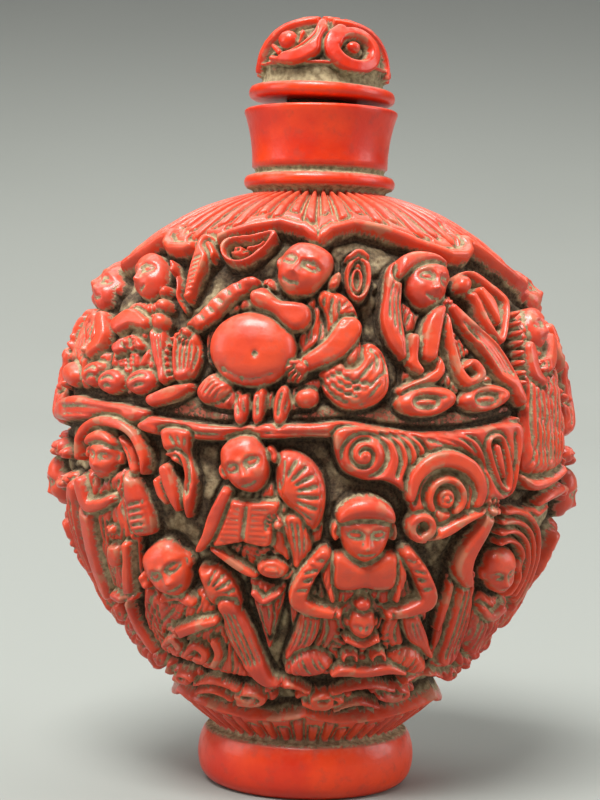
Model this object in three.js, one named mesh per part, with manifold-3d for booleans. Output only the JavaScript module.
// A carved snuff bottle: a flattened ovoid flask on an oval foot, with a waisted neck, and a domed
// stopper on a cork. Two registers of seated and standing figures are carved into the body, under a
// ribbed collar of lappets and over a ring of lappets at the foot.
// Millimetres, +Z up, origin at the centre of the underside, the front of the bottle facing -Y.
import * as THREE from "three";
import { mergeVertices } from "three/addons/utils/BufferGeometryUtils.js";
import Module from "manifold-3d";

const wasm = await Module();
wasm.setup();

// ---- driving dimensions ----
const FOOT = { height: 5.6, width: 10.0, bulge: 10.55, sole: 9.4, depthRatio: 0.83, rim: 2.4, recess: 1.0 };

// The body's outline is two superellipse arcs that meet at its widest level.
const BODY = {
  halfWidth: 25.7,
  widestAt: 31.7,
  upper: { reach: 26.45, power: 2.2 },
  lower: { reach: 30.2, power: 1.585 },
  bottom: 5.4,
  top: 57.6,
  depthRatio: 0.68, // depth over width at the widest level
  columns: 72,
};

const BEAD = { height: 1.5, radius: 7.3 };
const NECK = { groove: 6.15, waist: 6.5, lip: 7.4, bore: 3.75, top: 65.3, columns: 40 };
const WALL = 4.3; // from the uncarved surface to the hollow
const GROUND = 1.9; // how deep the ground lies behind the figures
const STEP = 0.45; // width of the slope where one level drops to another

// Ring of lappets under the neck, and the smaller ring over the foot: distances up the surface.
const COLLAR = { edge: 53.4, swing: 1.6, sideDrop: 2.6, lappets: 6, thick: 0.9, flute: 0.45 };
const HEM = { edge: 5.5, swing: 1.0, lappets: 6, thick: 0.7, flute: 0.3 };
const LEDGE = { bottom: 33.3, top: 36.0, wave: 0.5, waves: 9, below: 0.3 };

const CORK = { top: 3.4, bottom: 3.1, reach: 5.2, sides: 24 };
const FLANGE = { gap: 0.8, height: 1.3, radius: 7.05 };
const DOME = { stem: 6.0, stemHeight: 0.9, radius: 6.45, height: 5.7, relief: 0.5, columns: 42, scrolls: 6 };
const STOPPER_LEAN = THREE.MathUtils.degToRad(1.7); // the stopper sits a little crooked

// ---- the uncarved body ----
function halfWidth(z) {
  const arc = z > BODY.widestAt ? BODY.upper : BODY.lower;
  const t = Math.abs(z - BODY.widestAt) / arc.reach;
  return BODY.halfWidth * Math.max(1 - t ** arc.power, 0) ** (1 / arc.power);
}

// Rounder towards the foot and the neck than at the widest level.
function depthRatio(z) {
  const down = THREE.MathUtils.clamp((BODY.widestAt - z) / (BODY.widestAt - BODY.bottom), 0, 1);
  const up = THREE.MathUtils.clamp((z - BODY.widestAt) / (BODY.top - BODY.widestAt), 0, 1);
  const toFoot = (FOOT.depthRatio - BODY.depthRatio) * down ** 2.5;
  const toNeck = (1 - BODY.depthRatio) * up ** 4;
  return BODY.depthRatio + toFoot + toNeck;
}

// One horizontal oval: its half-width, half-depth and level.
const section = (z, width, depth = width) => ({ z, width, depth });
const bodySection = (z) => section(z, halfWidth(z), halfWidth(z) * depthRatio(z));

// Distance up the body's surface at even steps of level.
const RUN = [0];
const RUN_STEPS = 400;
const runLevel = (i) => BODY.bottom + ((BODY.top - BODY.bottom) * i) / RUN_STEPS;
const meanRadius = (z) => (halfWidth(z) * (1 + depthRatio(z))) / 2;
for (let i = 1; i <= RUN_STEPS; i++) {
  const rise = runLevel(i) - runLevel(i - 1);
  RUN.push(RUN[i - 1] + Math.hypot(rise, meanRadius(runLevel(i)) - meanRadius(runLevel(i - 1))));
}
const BODY_RUN = RUN[RUN_STEPS];

function levelAt(up) {
  const next = Math.max(RUN.findIndex((run) => run >= Math.min(up, BODY_RUN)), 1);
  return runLevel(next - 1 + (up - RUN[next - 1]) / (RUN[next] - RUN[next - 1]));
}

// Distance round one oval from the front (angle 0) to an angle.
function arcFromFront({ width, depth }, angle) {
  const steps = 24;
  const bend = (i) => (angle * (i + 0.5)) / steps;
  let length = 0;
  for (let i = 0; i < steps; i++) {
    length += Math.hypot(width * Math.cos(bend(i)), depth * Math.sin(bend(i))) * (angle / steps);
  }
  return length;
}

// A point on an oval, moved in along the oval's normal by a depth of cut.
function onOval({ z, width, depth }, angle, cut = 0) {
  const inward = new THREE.Vector3(-Math.sin(angle) / width, Math.cos(angle) / depth, 0).normalize();
  return new THREE.Vector3(width * Math.sin(angle), -depth * Math.cos(angle), z).addScaledVector(inward, cut);
}

// ---- the figures: rounded masses, each [across, up, half-width, half-height] from the figure's foot ----
const seated = (lean) => [
  [lean, 12.6, 2.7, 3.1], // head
  [lean / 2, 6.2, 3.6, 4.2], // body
  [-5.0, 6.4, 2.2, 3.8], // sleeves
  [5.0, 6.4, 2.2, 3.8],
  [-4.0, 1.6, 3.4, 2.2], // knees
  [4.0, 1.6, 3.4, 2.2],
];
const standing = (lean) => [
  [lean, 15.4, 2.5, 3.1], // head
  [0, 9.0, 4.4, 3.8], // shoulders and sleeves
  [-1.8, 3.6, 2.0, 4.2], // the robe in two falls
  [2.0, 3.6, 2.0, 4.2],
];
const reading = (lean) => [
  [lean, 10.6, 2.4, 2.6], // head
  [4.2, 8.2, 3.0, 2.8], // raised shoulder
  [0.6, 4.8, 3.6, 2.2], // open book
  [-3.4, 4.6, 2.0, 3.6], // arm
];
const cloud = (size) => [
  [0, 0, size, size * 0.6],
  [size * 0.9, -size * 0.6, size * 0.6, size * 0.45],
];

// One face of the bottle: a figure, its distance across from the middle and up the surface.
const FACE = [
  [seated(3.0), -4.5, 36.4],
  [seated(-1.8), 11.6, 36.2],
  [seated(0.4), -17.2, 36.2],
  [standing(0.6), -26.4, 31.0],
  [standing(-1.2), 24.6, 30.0],
  [standing(0.6), -21.2, 15.4],
  [reading(-1.0), -5.2, 20.6],
  [seated(-4.6), -8.6, 9.2],
  [seated(0), 5.2, 12.6],
  [standing(2.4), 16.0, 8.6],
  [standing(1.0), 24.0, 11.4],
  [cloud(2.6), 4.6, 31.4],
  [cloud(4.0), 12.6, 29.4],
  [standing(0), 33.4, 21.0],
  [standing(0), -33.4, 21.0],
];

// Height of the carving, 0 on the ground and 1 on the figures, mirrored on the bottle's other face.
function figureHeight(x, up, mirror) {
  let height = 0;
  for (const [masses, across, foot] of FACE) {
    for (const [mx, my, wide, tall] of masses) {
      const r2 = ((x * mirror - across - mx) / wide) ** 2 + ((up - foot - my) / tall) ** 2;
      height = Math.max(height, Math.min(1.2 * (1 - r2), 1));
    }
  }
  return height;
}

function fieldCut(angle, up) {
  const oval = bodySection(levelAt(up));
  const half = arcFromFront(oval, Math.PI);
  const x = arcFromFront(oval, angle);
  const front = x < half / 2 || x > 1.5 * half;
  const fromMiddle = front ? x - 2 * half * Math.round(x / (2 * half)) : x - half;
  return GROUND * (1 - figureHeight(fromMiddle, up, front ? 1 : -1));
}

// ---- the edges that run round the body ----
const lappetSwing = (angle, lappets) => Math.abs(Math.sin((lappets / 2) * angle));
const collarEdge = (angle) =>
  COLLAR.edge - COLLAR.sideDrop * Math.sin(angle) ** 2 - COLLAR.swing * (1 - lappetSwing(angle, COLLAR.lappets));
const hemEdge = (angle) => HEM.edge - HEM.swing * lappetSwing(angle, HEM.lappets);
const ledgeWave = (angle) => LEDGE.wave * Math.sin(LEDGE.waves * angle);

// Rows of the surface from the foot to the neck. Each says how far up it lies and how deep it is cut.
function bodyRows() {
  const rows = [];
  const between = (from, to, count, cut) => {
    for (let i = 0; i < count; i++) {
      const share = i / Math.max(count - 1, 1);
      rows.push({ up: (a) => from(a) + (to(a) - from(a)) * share, cut });
    }
  };
  const level = (value) => () => value;
  const after = (edge, by) => (a) => edge(a) + by;
  const ledgeBottom = (a) => LEDGE.bottom + ledgeWave(a);
  const ledgeTop = (a) => LEDGE.top + ledgeWave(a);
  const fluted = (depth) => (a, up, column) => (column % 2 ? depth : 0);
  const ledgeCut = (a, up) => Math.min(fieldCut(a, up), LEDGE.below + GROUND * Math.sin(a) ** 4);

  between(level(0.2), after(hemEdge, -0.8), 2, fluted(HEM.flute));
  between(hemEdge, hemEdge, 1, level(0));
  between(after(hemEdge, STEP), after(ledgeBottom, -STEP), 17, fieldCut);
  between(ledgeBottom, ledgeTop, 2, ledgeCut);
  between(after(ledgeTop, STEP), after(collarEdge, -STEP), 11, fieldCut);
  between(collarEdge, after(collarEdge, 1.0), 2, level(0));
  between(after(collarEdge, 2.0), level(BODY_RUN - 0.1), 3, fluted(COLLAR.flute));
  return rows;
}

// ---- solids ----
// A closed solid through rings of points, bottom to top, with a point on the axis at each end.
function ringSolid(rings, bottom, top) {
  const n = rings[0].length;
  const points = [bottom, ...rings.flat(), top];
  const faces = [];
  const at = (row, column) => 1 + row * n + (column % n);
  for (let c = 0; c < n; c++) {
    faces.push(0, at(0, c + 1), at(0, c));
    for (let r = 0; r + 1 < rings.length; r++) {
      faces.push(at(r, c), at(r, c + 1), at(r + 1, c + 1), at(r, c), at(r + 1, c + 1), at(r + 1, c));
    }
    faces.push(at(rings.length - 1, c), at(rings.length - 1, c + 1), points.length - 1);
  }
  return new THREE.BufferGeometry().setFromPoints(points).setIndex(faces);
}

const onAxis = (z) => new THREE.Vector3(0, 0, z);
const angles = (columns) => Array.from({ length: columns }, (_, c) => (2 * Math.PI * c) / columns);
const ring = (oval, columns, cutAt = () => 0) => angles(columns).map((a) => onOval(oval, a, cutAt(a)));

function toSolid(geometry) {
  const merged = mergeVertices(geometry, 1e-4);
  return new wasm.Manifold(
    new wasm.Mesh({
      numProp: 3,
      vertProperties: merged.attributes.position.array,
      triVerts: new Uint32Array(merged.index.array),
    }),
  );
}

function toGeometry(solid) {
  const { vertProperties, triVerts } = solid.getMesh();
  const geometry = new THREE.BufferGeometry();
  geometry.setAttribute("position", new THREE.BufferAttribute(new Float32Array(vertProperties), 3));
  return geometry.setIndex(new THREE.BufferAttribute(triVerts, 1));
}

function carvedBody() {
  const rings = bodyRows().map(({ up, cut }) =>
    angles(BODY.columns).map((angle, column) => {
      const height = up(angle);
      return onOval(bodySection(levelAt(height)), angle, cut(angle, height, column));
    }),
  );
  return ringSolid(rings, onAxis(BODY.bottom), onAxis(BODY.top));
}

function foot() {
  const oval = (z, width) => section(z, width, width * FOOT.depthRatio);
  const sections = [
    oval(0, FOOT.sole - FOOT.rim),
    oval(0, FOOT.sole),
    oval(0.45, FOOT.sole + 0.62),
    oval(1.5, FOOT.bulge - 0.12),
    oval(3.0, FOOT.bulge),
    oval(4.6, FOOT.bulge - 0.18),
    oval(FOOT.height + 0.1, FOOT.width),
    oval(FOOT.height + 1.2, FOOT.width - 2),
  ];
  const rings = [oval(FOOT.recess, FOOT.sole - FOOT.rim - 0.4), ...sections].map((s) => ring(s, NECK.columns));
  return ringSolid(rings, onAxis(FOOT.recess), onAxis(FOOT.height + 1.2));
}

function neck() {
  const root = BODY.top - 1.2;
  const beadTop = BODY.top + BEAD.height;
  const waistAt = beadTop + 0.4;
  const bead = [0, 0.33, 0.67, 1].map((t) =>
    section(BODY.top + BEAD.height * t, BEAD.radius - 0.9 * (2 * t - 1) ** 2),
  );
  const rise = [0, 0.35, 0.7, 0.93].map((t) => {
    const flare = (NECK.lip - NECK.waist) * t ** 2.1;
    return section(waistAt + (NECK.top - waistAt) * t, NECK.waist + flare);
  });
  const sections = [section(root, NECK.waist), ...bead, section(beadTop + 0.1, NECK.groove), ...rise];
  const rings = [...sections, section(NECK.top, NECK.lip - 0.25)].map((s) => ring(s, NECK.columns));
  return ringSolid(rings, onAxis(root), onAxis(NECK.top));
}

// The hollow follows the body at the wall's thickness, and runs up the bore and out of the mouth.
function hollow() {
  const bands = 10;
  const sides = 24;
  const floor = FOOT.height + WALL;
  const shoulder = BODY.top - WALL;
  const above = NECK.top + 2;
  const inside = Array.from({ length: bands + 1 }, (_, i) => {
    const z = floor + ((shoulder - floor) * (1 - Math.cos((Math.PI * i) / bands))) / 2;
    const { width, depth } = bodySection(z);
    return section(z, Math.max(width - WALL, NECK.bore), Math.max(depth - WALL, NECK.bore));
  });
  const sections = [...inside, section(BODY.top, NECK.bore), section(above, NECK.bore)];
  return ringSolid(sections.map((s) => ring(s, sides)), onAxis(floor), onAxis(above));
}

const bottleSolid = () => toSolid(carvedBody()).add(toSolid(foot())).add(toSolid(neck())).subtract(toSolid(hollow()));

// Ring-shaped scrolls stand side by side round the dome, under a plain boss on its crown.
function domeCut(angle, share) {
  const turn = (angle * DOME.scrolls) / (2 * Math.PI);
  const x = 2 * (turn - Math.floor(turn)) - 1;
  const r = Math.hypot(x / 0.9, (share - 0.32) / 0.3);
  const raised = Math.abs(r - 0.72) < 0.25 || r < 0.22 || share > 0.8 || share < 0.06;
  return raised ? 0 : DOME.relief;
}

function stopperSolid() {
  const base = NECK.top + FLANGE.gap;
  const plate = base + FLANGE.height;
  const stemTop = plate + DOME.stemHeight;
  const plain = [
    section(base, FLANGE.radius - 0.35),
    section(base + 0.3 * FLANGE.height, FLANGE.radius),
    section(base + 0.65 * FLANGE.height, FLANGE.radius - 0.05),
    section(plate, FLANGE.radius - 0.6),
    section(plate + 0.05, DOME.stem),
    section(stemTop - 0.1, DOME.stem),
  ].map((s) => ring(s, DOME.columns));
  const shares = [0, 0.08, 0.16, 0.24, 0.32, 0.4, 0.48, 0.56, 0.64, 0.76, 0.88, 0.96];
  const crown = shares.map((share) => {
    const tilt = (share * Math.PI) / 2;
    const oval = section(stemTop + DOME.height * Math.sin(tilt) ** 1.15, DOME.radius * Math.cos(tilt) ** 0.62);
    return ring(oval, DOME.columns, (angle) => domeCut(angle, share));
  });
  return ringSolid([...plain, ...crown], onAxis(base), onAxis(stemTop + DOME.height));
}

function corkSolid() {
  const top = NECK.top + FLANGE.gap;
  const bottom = NECK.top - CORK.reach;
  const chamfer = 0.4;
  const sections = [
    section(bottom, CORK.bottom - chamfer),
    section(bottom + chamfer, CORK.bottom),
    section(top, CORK.top),
  ];
  return ringSolid(sections.map((s) => ring(s, CORK.sides)), onAxis(bottom), onAxis(top));
}

// ---- the object ----
const lacquer = new THREE.MeshStandardMaterial({ color: 0xc8321c, roughness: 0.32, metalness: 0 });
const corkBrown = new THREE.MeshStandardMaterial({ color: 0x4a3626, roughness: 0.9, metalness: 0 });

function part(name, geometry, material) {
  const mesh = new THREE.Mesh(geometry, material);
  mesh.name = name;
  return mesh;
}

const bottle = new THREE.Group();
bottle.add(part("bottle", toGeometry(bottleSolid()), lacquer));

// The stopper and its cork lean together about the middle of the mouth.
const mouth = new THREE.Group();
mouth.position.z = NECK.top;
mouth.rotation.y = STOPPER_LEAN;
for (const piece of [part("stopper", stopperSolid(), lacquer), part("cork", corkSolid(), corkBrown)]) {
  piece.position.z = -NECK.top;
  mouth.add(piece);
}
bottle.add(mouth);

export default bottle;
